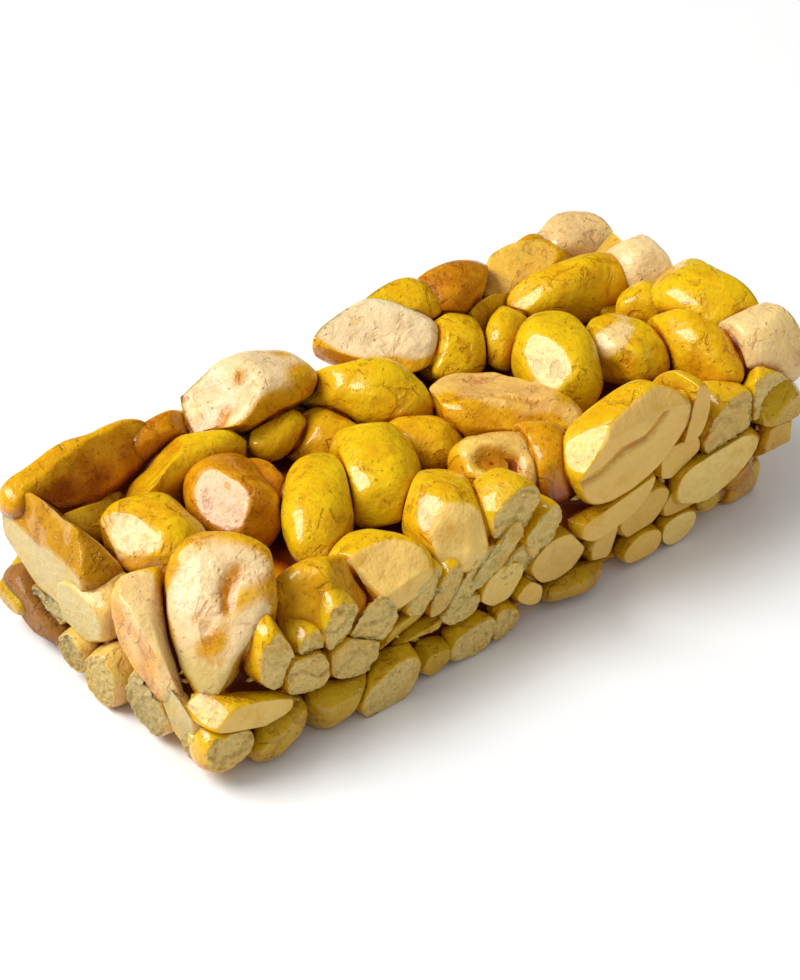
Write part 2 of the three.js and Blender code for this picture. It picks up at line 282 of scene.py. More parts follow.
# How far over the caramel a corner's height is kept, and how the kernels' seeds
# spread their chance values
RISE_RANGE = (-0.5, 1.5)
CHANCE_STEP = 0.137

# Smooth random fields over a kernel: what is added to its seed, and how long
# their waves are
FIELDS = {
    "large": (0, 7),
    "small": (500, 2.6),
    "drift": (300, 5),
    "flat": (900, 4),
    "knife": (700, 3),
    "mark": (40, 2.4),
}

# What a kernel looks like: tone runs from lemon gold 0 to dark amber 1 and
# grows by drip underneath, partly glaze that ran down and partly painted shade
# on the lower flanks. Pale is how thin and milky its glaze is, on the side that
# faces the milky way, growing over the milky edge; on that side it is partly a
# painted highlight. Olive is an olive glaze, partly the kernel's own tint and
# partly painted shade, and olive below paints more of it as shade below a
# height over its middle. A flat is a direction, how far out it lies, and how
# fresh its flesh is, or, when negative, how much milky colour is painted on it
# as a painted highlight. Cut is how the knife or a break left its face; fresh,
# grain, toast and chalk are what its flesh shows there, and dull is skin that
# it kept
PLAIN_LOOK = {
    "drip": 0.22,
    "taper": 0.12,
    "uneven": 0.15,
    "pale": 0.0,
    "milky_way": None,
    "milky_edge": (0.3, 0.75),
    "olive": 0.0,
    "olive_below": None,
    "flats": (),
    "cut": "smooth",
    "fresh": 0.0,
    "grain": 0.0,
    "toast": 0.0,
    "chalk": 0.0,
    "dull": 0.0,
}


def look(tone, **rest):
    return {**PLAIN_LOOK, "tone": tone, **rest}


# Flats with a negative last value carry a painted highlight: milky colour on a flat turned to where
# the softbox reflects
LOOKS = {
    "yellow": look(0.08),
    "yellow_flat": look(0.0, flats=[(-0.65, -0.1, 0.75, 4.1, -0.3)]),
    "patched": look(0.15, flats=[(-0.67, -0.11, 0.73, 3.8, -0.4)]),
    "lemon": look(0.04),
    "gold": look(0.18),
    "gold_long": look(0.15),
    "gold_flat": look(0.18, flats=[(-0.3, -0.3, 0.9, 2.2, 0.3)]),
    "gold_ridge": look(0.2, flats=[(-0.45, 0.45, 0.77, 2.3, 0.0)]),
    "gold_rough": look(0.28, uneven=0.6),
    "gold_edge": look(0.06, flats=[(0.35, 0.75, 0.6, 2.6, 0.0)]),
    "half_groove": look(
        0.22,
        taper=0.3,
        pale=0.3,
        milky_way=(0.2, 0.45, 0.87),
        flats=[(0.05, 0.2, 0.97, 2.3, 0.0), (-0.5, -0.45, 0.74, 3.2, 0.0)],
    ),
    "amber": look(0.55),
    "amber_light": look(0.4),
    "amber_dark": look(0.5, flats=[(-0.66, -0.13, 0.74, 3.8, -0.3)]),
    "amber_lobe": look(0.42, drip=0.45),
    "amber_ridge": look(0.3, drip=0.6, flats=[(0.1, -0.86, 0.5, 1.9, 0.0)]),
    "orange": look(0.55),
    "wedge": look(0.2, flats=[(-0.55, -0.55, 0.63, 2.6, 0.0), (0.5, -0.6, 0.62, 2.8, 0.0)]),
    "hollow": look(
        0.2, uneven=0.8, pale=0.3, milky_way=(0, -0.2, 1), flats=[(-0.15, -0.45, 0.88, 3.3, -0.2)]
    ),
    "cream": look(0.1, pale=0.8),
    "cream_flat": look(
        0.15,
        pale=1.0,
        uneven=0.05,
        milky_way=(-0.2, -0.3, 0.93),
        milky_edge=(0.5, 0.78),
        flats=[(-0.35, -0.45, 0.82, 2.7, 0.0)],
    ),
    "cream_corner": look(0.12, pale=0.65, uneven=0.5),
    "peach": look(0.35, pale=0.55),
    "peach_side": look(0.25, pale=0.6, uneven=0.6, milky_way=(-0.5, -0.5, 0.7)),
    "pale_large": look(
        0.3,
        pale=0.85,
        uneven=0.1,
        milky_way=(-0.3, -0.1, 0.95),
        milky_edge=(0.55, 0.85),
        flats=[(-0.5, -0.1, 0.86, 3.1, 0.0)],
    ),
    "corner": look(
        0.3,
        pale=0.85,
        uneven=0.25,
        taper=0.3,
        milky_way=(-0.62, -0.45, 0.64),
        milky_edge=(0.55, 0.85),
        olive_below=0.2,
        flats=[(0.33, -0.96, -0.24, 3.9, 0.0), (-0.67, -0.2, 0.72, 4.1, 0.0)],
    ),
    "left_end_top": look(
        0.5, chalk=0.9, olive=0.5, flats=[(-0.86, 0.0, 0.51, 2.9, 0.0), (0.8, 0.0, 0.6, 2.6, 0.0)]
    ),
    "lumpy": look(0.1, pale=0.6, uneven=1.0, milky_way=(-0.4, 0.1, 0.9), milky_edge=(0.75, 0.95)),
    "pitted_yellow": look(0.0),
    "cut_end": look(
        0.12, toast=0.4, flats=[(-0.25, -0.8, 0.55, 4.0, 1.0), (-0.67, -0.11, 0.73, 4.3, -0.3)]
    ),
    "cut_face": look(0.12, toast=0.35, flats=[(-0.2, -0.57, 0.8, 2.5, 0.9)]),
    "split": look(
        0.12, toast=0.55, flats=[(0.0, -0.85, 0.53, 3.3, 1.0), (-0.67, -0.11, 0.73, 5.5, 0.0)]
    ),
    "olive": look(0.16, olive=0.8),
    "olive_brown": look(0.4, olive=0.8),
    "tan": look(0.3, toast=0.3, cut="smooth", olive=0.6, fresh=0.6, grain=0.3),
    "sliced": look(0.15, olive=0.3, toast=0.32, cut="smooth", fresh=0.9, grain=0.25),
    "broken": look(0.15, chalk=0.25, olive=0.3, cut="broken", fresh=1.0, grain=0.8),
    "porous": look(0.15, chalk=0.25, olive=0.4, cut="porous", fresh=1.0, grain=1.0),
    "flaky": look(0.15, chalk=0.25, cut="flaky", fresh=1.0, grain=0.7),
    "chalky": look(0.2, pale=0.4, olive=0.3, cut="smooth", fresh=1.0, grain=0.3, chalk=0.9),
    "chalky_broken": look(0.2, pale=0.3, olive=0.3, cut="broken", fresh=1.0, grain=0.8, chalk=1.0),
    "chalky_porous": look(0.2, pale=0.3, olive=0.3, cut="porous", fresh=1.0, grain=1.0, chalk=0.7),
    "amber_side": look(0.5, olive=0.3),
    "russet": look(0.6, olive=0.3, dull=0.7),
}

# Marks sculpted into a kernel on top, by its row: from one point to another, how wide, how deep
# (a ridge when negative), how much amber glaze lies in it, and its profile
# (0 a soft valley, 1 a flat floor with steep walls)
MARKS = {
    0: [
        ((-31.4, -11.0, 18.2), (-33.0, -11.6, 17.2), 0.8, 0.42, 0.9, 0),
        ((-33.0, -11.6, 17.2), (-33.9, -12.9, 16.0), 0.6, 0.45, 0.9, 0),
        ((-38.0, -13.0, 12.9), (-37.3, -14.9, 12.0), 0.3, 0.25, 0.45, 0),
        ((-37.3, -14.9, 12.0), (-35.9, -16.1, 12.8), 0.3, 0.25, 0.45, 0),
        ((-37.0, -10.7, 15.3), (-36.2, -12.4, 14.9), 0.6, 0.15, 0.25, 0),
    ],
    6: [
        ((-16.6, 12.6, 15.6), (-14.6, 13.6, 17.6), 0.7, 0.2, 0.9, 0),
        ((-13.4, 11.6, 16.4), (-8.5, 11.2, 16.2), 0.8, 0.2, 0.5, 0),
    ],
    1: [((-36.0, 2.0, 12.4), (-32.4, -1.4, 12.8), 1.8, 0.1, 0.7, 1)],
    8: [((-22.6, 0.0, 14.0), (-20.1, -1.8, 14.2), 1.2, 0.3, 0.6, 0)],
    19: [
        ((7.4, 2.0, 17.6), (12.5, -7.5, 17.4), 0.5, 0.35, 0.4, 0),
        ((6.4, 3.4, 15.4), (11.6, -7.6, 15.6), 0.5, 0.25, 0.3, 0),
    ],
    21: [((1.8, -10.4, 17.0), (3.0, -12.0, 16.4), 2.1, 1.3, 1.0, 0.7)],
    32: [((37.6, -4.1, 21.6), (37.8, -4.3, 21.6), 0.4, 0.35, 1.0, 0)],
    37: [
        ((6.9, -18.3, 14.4), (11.2, -18.3, 15.2), 0.34, 1.1, 0.9, 0),
        ((11.2, -18.3, 15.2), (13.7, -18.3, 16.4), 0.34, 1.2, 0.9, 0),
        ((13.7, -18.3, 16.4), (17.1, -18.3, 16.6), 0.34, 1.2, 0.9, 0),
        ((17.1, -18.3, 16.6), (19.7, -18.3, 18.7), 0.34, 1.1, 0.9, 0),
    ],
}

# What the finish of a kernel reads from its corners, besides its chance value
KERNEL_FINISH = (
    "tone", "pale", "olive", "cut", "rise", "stain", "grain", "toast", "chalk", "dull"
)


# ---- small helpers ----
def seeded(seed):
    state = seed

    def draw():
        nonlocal state
        state = (state * 1664525 + 1013904223) % 4294967296
        return state / 4294967296

    return draw


def smoothstep(low, high, values):
    share = np.clip((values - low) / (high - low), 0, 1)
    return share * share * (3 - 2 * share)


def core_height(x):
    share = x / LENGTH + 0.5
    return CORE_HEIGHT_LEFT + (CORE_HEIGHT_RIGHT - CORE_HEIGHT_LEFT) * share


def wave_field(seed, wavelength):
    """A smooth random field between about -1 and 1, made of plane waves."""
    chance = np.random.default_rng(seed)
    waves = chance.normal(size=(WAVE_COUNT, 3))
    waves /= np.linalg.norm(waves, axis=1)[:, None]
    waves *= 2 * math.pi / (wavelength * chance.uniform(*WAVE_SPREAD, WAVE_COUNT))[:, None]
    phases = chance.uniform(0, 2 * math.pi, WAVE_COUNT)
    return lambda points: np.sin(points @ waves.T + phases).sum(axis=1) / 4


def sphere_directions(subdivisions):
    """The corners of the icosphere that every kernel starts from."""
    ball = bmesh.new()
    bmesh.ops.create_icosphere(ball, subdivisions=subdivisions, radius=1)
    directions = np.array([corner.co for corner in ball.verts])
    ball.free()
    return directions


def press(points, normal, over, softness):
    """Presses points back to a plane that they pass by `over`, with a rounded edge."""
    pressed = (over + np.sqrt(over * over + softness * softness)) / 2
    return points - np.array(normal) * pressed[:, None]


def segment_distance(points, start, end):
    start, end = np.array(start, float), np.array(end, float)
    way = end - start
    length = way @ way
    share = np.clip((points - start) @ way / length, 0, 1) if length else np.zeros(len(points))
    return np.linalg.norm(points - start - share[:, None] * way, axis=1)


def break_relief(kind, points, seed):
    """How far a broken or cut face lies under its plane at each point, in mm."""
    shift = Vector((seed * 7.13, seed * 3.71, seed * 5.37))
    out = np.zeros(len(points))

    def rough(spot, scale):
        return noise.noise(spot * scale + shift)

    for i, point in enumerate(points):
        p = Vector(point)
        fine = rough(p, 1.6)
        if kind == "smooth":
            out[i] = 0.06 * rough(p, 0.5) + 0.03 * fine
        elif kind == "porous":
            near = noise.voronoi(p * 1.5 + shift)[0][0]
            out[i] = 0.16 * fine - 0.9 * max(0.0, 0.42 - near)
        elif kind == "flaky":
            level = 0.5 * (point[2] - 0.7 * point[0]) + 0.7 * rough(p, 0.4)
            level += 0.3 * rough(p, 1.3) + 0.16 * rough(p, 4)
            out[i] = 0.4 * (1 - (level - math.floor(level))) - 0.25 + 0.16 * fine
            out[i] += 0.12 * rough(p, 3.6)
        else:
            level = 0.3 * point[2] + 0.25 * math.sin(seed) * (point[0] + point[1])
            level += 0.9 * rough(p, 0.3) + 0.25 * rough(p, 1.1)
            step = level - math.floor(level)
            near = noise.voronoi(p * 0.8 + shift)[0][0]
            out[i] = 0.35 * step * step - 0.15 + 0.22 * fine - 0.6 * max(0.0, 0.3 - near)
            out[i] += 0.14 * rough(p, 3.6)
    return out


def sample_directions(count):
    """Directions spread evenly over a sphere."""
    steps = np.arange(count) + 0.5
    up = 1 - 2 * steps / count
    angle = steps * math.pi * (3 - math.sqrt(5))
    flat = np.sqrt(1 - up * up)
    return np.stack([flat * np.cos(angle), flat * np.sin(angle), up], axis=1)


def settle(kernels):
    """Gives kernels that would run into each other a flat contact face with a narrow gap."""
    ways = sample_directions(CONTACT_WAYS)
    reaches = [np.linalg.norm((ways @ kernel.turn) * kernel.size, axis=1) for kernel in kernels]
    for i, first in enumerate(kernels):
        for j in range(i + 1, len(kernels)):
            second = kernels[j]
            offset = second.place - first.place
            if np.linalg.norm(offset) > first.size.max() + second.size.max():
                continue
            room = ways @ offset - reaches[i] - reaches[j]
            best = int(np.argmax(room))
            overlap = -CONTACT_GAP - room[best]
            if overlap < 0 or overlap > CONTACT_LIMIT * min(first.size.min(), second.size.min()):
                continue
            share = first.yields / (first.yields + second.yields)
            edge = ways[best] @ first.place + reaches[i][best]
            other = ways[best] @ second.place - reaches[j][best]
            plane = edge - share * (edge - other)
            first.contacts.append((ways[best], plane - CONTACT_GAP / 2))
            second.contacts.append((-ways[best], -plane - CONTACT_GAP / 2))


class Kernel:
    """One peanut kernel: its size, place and turn, the planes that cut it, and its look."""

    def __init__(self, size, turn, place, look, margin, seed, face=None, crowd=None, marks=()):
        self.size = np.array(size, float) / 2
        self.turn = np.array(turn, float)
        self.place = np.array(place, float)
        self.look = LOOKS[look]
        self.margin = margin
        self.seed = seed
        self.face = face
        self.crowd = crowd
        self.marks = marks
        self.yields = CONTACT_YIELDS[face is not None]
        self.contacts = []

    def field(self, name, points):
        """One of the smooth random fields over this kernel, at each point."""
        offset, wavelength = FIELDS[name]
        return wave_field(self.seed + offset, wavelength)(points)

    def body(self, directions):
        """Points and outward directions of the whole kernel, turned, about its own middle."""
        aim = directions
        if self.crowd is not None:
            aim = aim + CROWDING * np.array(self.crowd)
            aim = aim / np.linalg.norm(aim, axis=1)[:, None]
        power = (np.abs(aim) ** FULLNESS).sum(axis=1) ** (-1 / FULLNESS)
        unit = aim * power[:, None]
        points = unit * self.size
        points[:, 1:] *= (1 - self.look["taper"] * unit[:, 0])[:, None]
        normals = np.sign(unit) * np.abs(unit) ** (FULLNESS - 1) / self.size
        normals /= np.linalg.norm(normals, axis=1)[:, None]
        small = SMALL_WAVE[0] + SMALL_WAVE[1] * self.look["uneven"]
        waves = LARGE_WAVE * self.field("large", points) + small * self.field("small", points)
        points += normals * waves[:, None]
        chance = np.random.default_rng(self.seed)
        count, near, far = FACETS[self.face is not None]
        for i in range(count):
            angle = (i + chance.uniform(0, FACET_STRAY)) * 2 * math.pi / count
            lean = chance.uniform(-FACET_LEAN, FACET_LEAN)
            normal = np.array((math.cos(angle), lean, math.sin(angle)))
            normal /= np.linalg.norm(normal)
            reach = np.linalg.norm(normal * self.size) * chance.uniform(near, far)
            points = press(points, normal, points @ normal - reach, FACET_SOFTNESS)
        return points @ self.turn.T, normals @ self.turn.T

    def cut_face(self, points, cut, sunk):
        """Presses the part that the knife or a break took off back to its rough face."""
        normal, distance = self.face
        normal = np.array(normal)
        over = points @ normal - distance + CARAMEL_SUNK_FACE * sunk
        relief = np.zeros(len(points))
        if not sunk:
            touched = over > -0.6
            relief[touched] = break_relief(self.look["cut"], points[touched], self.seed)
        points -= normal * np.maximum(over - relief, 0)[:, None]
        return np.maximum(cut, self.look["fresh"] * smoothstep(-0.1, 0.15, over - relief))

    def trim(self, points, normals, cut, sunk):
        """Presses what passes a cut side of the bar back to it."""
        apart = PLANE_STEP * (self.seed * 5 % PLANE_STEPS)
        for axis, size in ((0, LENGTH), (1, WIDTH)):
            reach = size / 2 + self.margin - apart
            over = np.abs(points[:, axis]) - reach + sunk
            over += KNIFE_WAVE * self.field("knife", points)
            if self.face is None:
                cut = np.maximum(cut, KNIFE_FRESH * smoothstep(0.0, KNIFE_EDGE, over))
            side = np.sign(points[:, axis])
            limit = reach - sunk - 0.05 * np.clip(over, 0, 1)
            points[:, axis] = side * np.minimum(np.abs(points[:, axis]), limit)
            on_cut = smoothstep(-0.1, KNIFE_EDGE, over)[:, None]
            normals = (1 - on_cut) * normals + on_cut * side[:, None] * np.eye(3)[axis]
        return normals, cut, apart

    def shape(self, directions, sunk=0.0):
        """Points in mm and what the finish needs at each; `sunk` shrinks it for the caramel."""
        points, normals = self.body(directions)
        drift = 0.25 * self.field("drift", points)
        pale = np.full(len(points), self.look["pale"])
        # Paler on the side facing the milky way: thin milky glaze, and partly a painted highlight
        # on that side
        if self.look["milky_way"]:
            facing = normals @ np.array(self.look["milky_way"]) + drift
            pale *= smoothstep(*self.look["milky_edge"], facing)
        # Painted shade, partly glaze that ran down: more amber on faces that turn downwards
        under = 1 - smoothstep(-0.4, 0.6, normals[:, 2] + drift)
        tone = self.look["tone"] + self.look["drip"] * under
        olive = np.full(len(points), self.look["olive"])
        # Painted shade: more olive glaze below a height over the middle
        if self.look["olive_below"] is not None:
            olive += 0.75 * (1 - smoothstep(-2, 1, points[:, 2] - self.look["olive_below"]))
        cut = np.zeros(len(points))
        for x, y, z, distance, fresh in self.look["flats"]:
            normal = np.array((x, y, z)) / math.sqrt(x * x + y * y + z * z)
            over = points @ normal - distance
            over += FLAT_WAVE * self.field("flat", points)
            points = press(points, normal, over, FLAT_SOFTNESS)
            reached = smoothstep(0.0, FLAT_EDGE, over)
            cut = np.maximum(cut, fresh * reached)
            # A negative fresh paints milky colour on the flat: a painted highlight
            pale = np.maximum(pale, -fresh * reached)
        points += self.place
        for normal, distance in self.contacts:
            points = press(points, normal, points @ normal - distance, CONTACT_SOFTNESS)
        points -= sunk * normals
        if self.face is not None:
            cut = self.cut_face(points, cut, sunk)
        normals, cut, apart = self.trim(points, normals, cut, sunk)
        stain = np.zeros(len(points))
        for start, end, width, depth, amber, steep in self.marks:
            wander = 1 + 0.16 * steep * self.field("mark", points)
            mark = np.exp(-((segment_distance(points, start, end) / (width * wander)) ** 2))
            mark += steep * (smoothstep(0.3, 0.55, mark) - mark)
            points = points - normals * (depth * mark)[:, None]
            stain = np.maximum(stain, amber * smoothstep(0.15, 0.75, mark))
        points[:, 2] = np.maximum(points[:, 2], apart + 0.5 * sunk)
        return points, {"cut": cut, "stain": stain, "pale": pale, "tone": tone, "olive": olive}


def rotation(degrees, axis):
    return Matrix.Rotation(math.radians(degrees), 3, axis)


def top_kernels():
    kernels = []
    for i, row in enumerate(TOP_KERNELS):
        x, y, z, length, width, height, heading, pitch, margin, look = row
        turn = rotation(heading, "Z") @ rotation(-pitch, "Y")
        size = (length * TOP_SWELL, width * TOP_SWELL, height)
        marks = MARKS.get(i, ())
        kernels.append(Kernel(size, turn, (x, y, z), look, margin, seed=10 + i, marks=marks))
    return kernels


def side_kernels(rows, side, reach, seed):
    """Kernels in a cut side that faces -Y before it is turned by `side` degrees about Z."""
    spin = rotation(side, "Z")
    outward = spin @ Vector((0, -1, 0))
    kernels = []
    for i, (along, up, long, short, turn, proud, share, look) in enumerate(rows):
        cut = reach + proud
        place = spin @ Vector((along, -cut + (1 - share) * FACE_DEPTH / 2, up))
        tilt = spin @ rotation(-turn, "Y")
        face = (outward, cut)
        crowd = rotation(turn, "Y") @ Vector((0, -1, 0))
        swell = np.interp(up, SWELL_HEIGHTS, SIDE_SWELL)
        size = (long * swell, FACE_DEPTH, short * swell)
        kernels.append(Kernel(size, tilt, place, look, SIDE_MARGIN, seed + i, face, crowd))
    return kernels


def mirrored(rows):
    return [(-along, up, long, short, -turn, *rest) for along, up, long, short, turn, *rest in rows]


def between(pair, share):
    return pair[0] + (pair[1] - pair[0]) * share


def ruled_rows(draw, span, height_at, proud_range):
    """Rows of kernels for a side nobody arranged by hand: layers, each jittered."""
    rows = []
    count = round(span / RULED_STEP)
    for layer in range(RULED_LAYERS):
        for i in range(count):
            along = (i + 0.5 + between(RULED_SHIFT, draw())) * span / count - span / 2
            rise = height_at(along) / RULED_LAYERS
            up = (layer + between(RULED_RISE, draw())) * rise
            long = RULED_STEP * between(RULED_LONG, draw())
            short = rise * between(RULED_SHORT, draw())
            turn = between(RULED_TURN, draw())
            proud = between(proud_range, up / height_at(along)) + between(RULED_UNEVEN, draw())
            share = between(RULED_CUT, draw())
            look = RULED_LOOKS[(3 * i + 5 * layer) % len(RULED_LOOKS)]
            rows.append((along, up, long, short, turn, proud, share, look))
    return rows


def underside_kernels():
    """Kernels pressed flat against the table, in jittered rows."""
    draw = seeded(UNDERSIDE_SEED)
    step, span = UNDERSIDE_PITCH
    left, front = step * UNDERSIDE_COLUMNS / 2, span * UNDERSIDE_ROWS / 2
    kernels = []
    for row in range(UNDERSIDE_ROWS):
        stagger = UNDERSIDE_STAGGER * (row % 2 * 2 - 1)
        for i in range(UNDERSIDE_COLUMNS):
            x = (i + 0.5 + UNDERSIDE_STRAY * (draw() - 0.5) + stagger) * step - left
            y = (row + 0.5 + UNDERSIDE_STRAY * (draw() - 0.5)) * span - front
            length = UNDERSIDE_SIZE[0] + UNDERSIDE_GROWTH[0] * draw()
            width = UNDERSIDE_SIZE[1] + UNDERSIDE_GROWTH[1] * draw()
            turn = rotation(UNDERSIDE_TURN * (draw() - 0.5), "Z")
            look = UNDERSIDE_LOOKS[(2 * i + 3 * row) % len(UNDERSIDE_LOOKS)]
            size, place = (length, width, UNDERSIDE_SIZE[2]), (x, y, UNDERSIDE_HEIGHT)
            seed = 260 + len(kernels)
            kernels.append(Kernel(size, turn, place, look, UNDERSIDE_MARGIN, seed))
    return kernels


def kernel_groups():
    """All kernels, by the piece that they belong to, with their contact faces."""
    draw = seeded(RULED_SEED)
    back = ruled_rows(draw, LENGTH, lambda along: core_height(-along), BACK_PROUD)
    right = ruled_rows(draw, WIDTH, lambda along: CORE_HEIGHT_RIGHT, RIGHT_PROUD)
    groups = {
        "top_kernels": top_kernels(),
        "front_kernels_low": side_kernels(FRONT_LOW, 0, WIDTH / 2, seed=100),
        "front_kernels_high": side_kernels(FRONT_HIGH, 0, WIDTH / 2, seed=140),
        "left_kernels": side_kernels(mirrored(LEFT_KERNELS), -90, LENGTH / 2, seed=160),
        "back_kernels": side_kernels(back, 180, WIDTH / 2, seed=180),
        "right_kernels": side_kernels(right, 90, LENGTH / 2, seed=220),
    }
    settle([kernel for group in groups.values() for kernel in group])
    groups["underside_kernels"] = underside_kernels()
    return groups


# ---- meshes ----
def add_object(name, data):
    thing = bpy.data.objects.new(name, data)
    bpy.context.scene.collection.objects.link(thing)
    return thing


def mesh_of(shape, name):
    mesh = bpy.data.meshes.new(name)
    shape.to_mesh(mesh)
    shape.free()
    return mesh


def spheres_mesh(name, count, subdivisions):
    """A mesh of that many icospheres, whose corners are then put where they belong."""
    shape = bmesh.new()
    for _ in range(count):
        bmesh.ops.create_icosphere(shape, subdivisions=subdivisions, radius=1)
    return mesh_of(shape, name)


def set_points(mesh, points):
    mesh.vertices.foreach_set("co", (points * MM).astype(np.float32).ravel())
    mesh.update()


def read_vectors(collection, key):
    values = np.zeros(len(collection) * 3, np.float32)
    collection.foreach_get(key, values)
    return values.reshape(-1, 3).astype(float)


def get_points(mesh):
    return read_vectors(mesh.vertices, "co") / MM


def get_normals(mesh):
    return read_vectors(mesh.vertex_normals, "vector")


def set_attribute(mesh, name, values):
    attribute = mesh.attributes.new(name, "FLOAT", "POINT")
    attribute.data.foreach_set("value", values.astype(np.float32))


def finish_piece(name, mesh, material):
    mesh.name = name
    mesh.materials.clear()
    mesh.materials.append(material)
    mesh.shade_smooth()
    piece = add_object(name, mesh)
    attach(piece, BODY)
    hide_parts(NODE)
    return piece


def smoothed(mesh, points, rounds, share=0.5):
    """Points moved towards the mean of their neighbours, several times."""
    edges = np.zeros(len(mesh.edges) * 2, np.int32)
    mesh.edges.foreach_get("vertices", edges)
    edges = edges.reshape(-1, 2)
    first, second = edges[:, 0], edges[:, 1]
    count = np.bincount(edges.ravel(), minlength=len(points))
    out = points.copy()
    for _ in range(rounds):
        mean = np.empty_like(out)
        for axis in range(3):
            total = np.bincount(first, out[second, axis], len(out))
            total += np.bincount(second, out[first, axis], len(out))
            mean[:, axis] = total / count
        out += share * (mean - out)
    return out


def core_points(points):
    """The slab of caramel: flat underneath, a wandering skin, edges rounded over."""
    across = WIDTH - 2 * CORE_INSET
    along = LENGTH - 2 * CORE_INSET
    x = points[:, 0] * along
    y = points[:, 1] * across
    share = points[:, 2] + 0.5
    edge = (np.abs(points[:, 0]) > 0.49) | (np.abs(points[:, 1]) > 0.49)
    wave = CORE_RIPPLE * np.sin(0.55 * x + 1.3) * np.cos(0.7 * y + 9 * share)
    z = share * (core_height(x) - CORE_DROP - np.where(edge, CORE_ROUND, 0) + wave)
    return np.stack([x, y, z], axis=1)


def make_caramel_mesh(voxel, fillet_rounds, inset):
    """The set caramel with all kernels sunk in it, as one closed skin that fills the crevices."""
    directions = sphere_directions(CARAMEL_DETAIL)
    kernels = [kernel for group in kernel_groups().values() for kernel in group]
    base = spheres_mesh("caramel_base", len(kernels), CARAMEL_DETAIL)
    shapes = [kernel.shape(directions, CARAMEL_SUNK)[0] for kernel in kernels]
    set_points(base, np.concatenate(shapes))

    solid = bmesh.new()
    bmesh.ops.create_cube(solid, size=1)
    bmesh.ops.subdivide_edges(solid, edges=solid.edges[:], cuts=CORE_CUTS, use_grid_fill=True)
    slab = core_points(np.array([corner.co for corner in solid.verts]))
    for corner, point in zip(solid.verts, slab):
        corner.co = point * MM
    solid.from_mesh(base)
    solid.to_mesh(base)
    solid.free()

    holder = add_object("caramel_base", base)
    remesh = holder.modifiers.new("Remesh", "REMESH")
    remesh.mode = "VOXEL"
    remesh.voxel_size = voxel
    graph = bpy.context.evaluated_depsgraph_get()
    mesh = bpy.data.meshes.new_from_object(holder.evaluated_get(graph))
    bpy.data.objects.remove(holder)
    bpy.data.meshes.remove(base)

    points = smoothed(mesh, get_points(mesh), fillet_rounds)
    set_points(mesh, points)
    normals = get_normals(mesh)
    far = smoothed(mesh, points, CREVICE_ROUNDS)
    pit = ((far - points) * normals).sum(axis=1)
    points = points - normals * inset / MM
    points[:, 2] = np.maximum(points[:, 2], CARAMEL_FLOOR)
    set_points(mesh, points)
    set_attribute(mesh, "pit", smoothstep(*CREVICE_EDGE, pit))
    return mesh


def make_kernel_mesh(name, kernels, subdivisions, caramel):
    """The kernels of one group, with what their finish needs kept on their corners."""
    directions = sphere_directions(subdivisions)
    mesh = spheres_mesh(name, len(kernels), subdivisions)
    shapes = [kernel.shape(directions) for kernel in kernels]
    points = np.concatenate([shape[0] for shape in shapes])
    set_points(mesh, points)
    for key in shapes[0][1]:
        set_attribute(mesh, key, np.concatenate([shape[1][key] for shape in shapes]))
    for key in ("grain", "toast", "chalk", "dull"):
        values = np.array([kernel.look[key] for kernel in kernels])
        set_attribute(mesh, key, np.repeat(values, len(directions)))
    seeds = np.array([kernel.seed * CHANCE_STEP % 1 for kernel in kernels])
    set_attribute(mesh, "chance", np.repeat(seeds, len(directions)))

    tree = BVHTree.FromPolygons(
        [corner.co for corner in caramel.vertices],
        [face.vertices for face in caramel.polygons],
    )
    rise = np.zeros(len(points))
    for i, corner in enumerate(mesh.vertices):
        place, normal, _, distance = tree.find_nearest(corner.co)
        outside = (corner.co - place).dot(normal) > 0
        rise[i] = distance / MM if outside else -distance / MM
    set_attribute(mesh, "rise", np.clip(rise, *RISE_RANGE))
    return mesh


def make_crumbs_mesh(name, count, caramel):
    """Crumbs and flakes of broken peanut in the crevices of the cut sides."""
    spots = get_points(caramel)
    normals = get_normals(caramel)
    pits = np.zeros(len(spots), np.float32)
    caramel.attributes["pit"].data.foreach_get("value", pits)
    along, across, height = spots.T
    low, under = CRUMB_HEIGHTS
    fitting = (along < -CRUMB_BEYOND[0]) | (np.abs(across) > CRUMB_BEYOND[1])
    fitting &= (np.abs(normals[:, 2]) < CRUMB_LEAN) & (pits > CRUMB_DEPTH)
    fitting &= (height > low) & (height < core_height(along) - under)
    chance = np.random.default_rng(CRUMB_SEED)
    chosen = chance.choice(np.flatnonzero(fitting), count, replace=False)
    directions = sphere_directions(CRUMB_DETAIL)
    mesh = spheres_mesh(name, count, CRUMB_DETAIL)
    points = []
    for spot in spots[chosen]:
        shares = np.array((1, chance.uniform(0.5, 0.9), chance.uniform(0.25, 0.5)))
        size = CRUMB_LENGTH * chance.uniform(0.25, 1) ** 1.5 * shares
        crumb = directions * size
        for _ in range(CRUMB_BREAKS):
            way = chance.normal(size=3)
            way /= np.linalg.norm(way)
            over = crumb @ way - np.linalg.norm(way * size) * chance.uniform(0.35, 0.75)
            crumb = crumb - way * np.maximum(over, 0)[:, None]
        axis = Vector(chance.normal(size=3)).normalized()
        turn = np.array(Matrix.Rotation(chance.uniform(0, math.pi), 3, axis))
        points.append(crumb @ turn.T + spot)
    points = np.concatenate(points)
    points[:, 2] = np.maximum(points[:, 2], CRUMB_FLOOR)
    set_points(mesh, points)
    for key in KERNEL_FINISH:
        set_attribute(mesh, key, np.full(len(points), CRUMB_FINISH.get(key, 0.0)))
    lots = np.repeat(chance.uniform(0, 1, count), len(directions))
    set_attribute(mesh, "chance", lots)
    return mesh


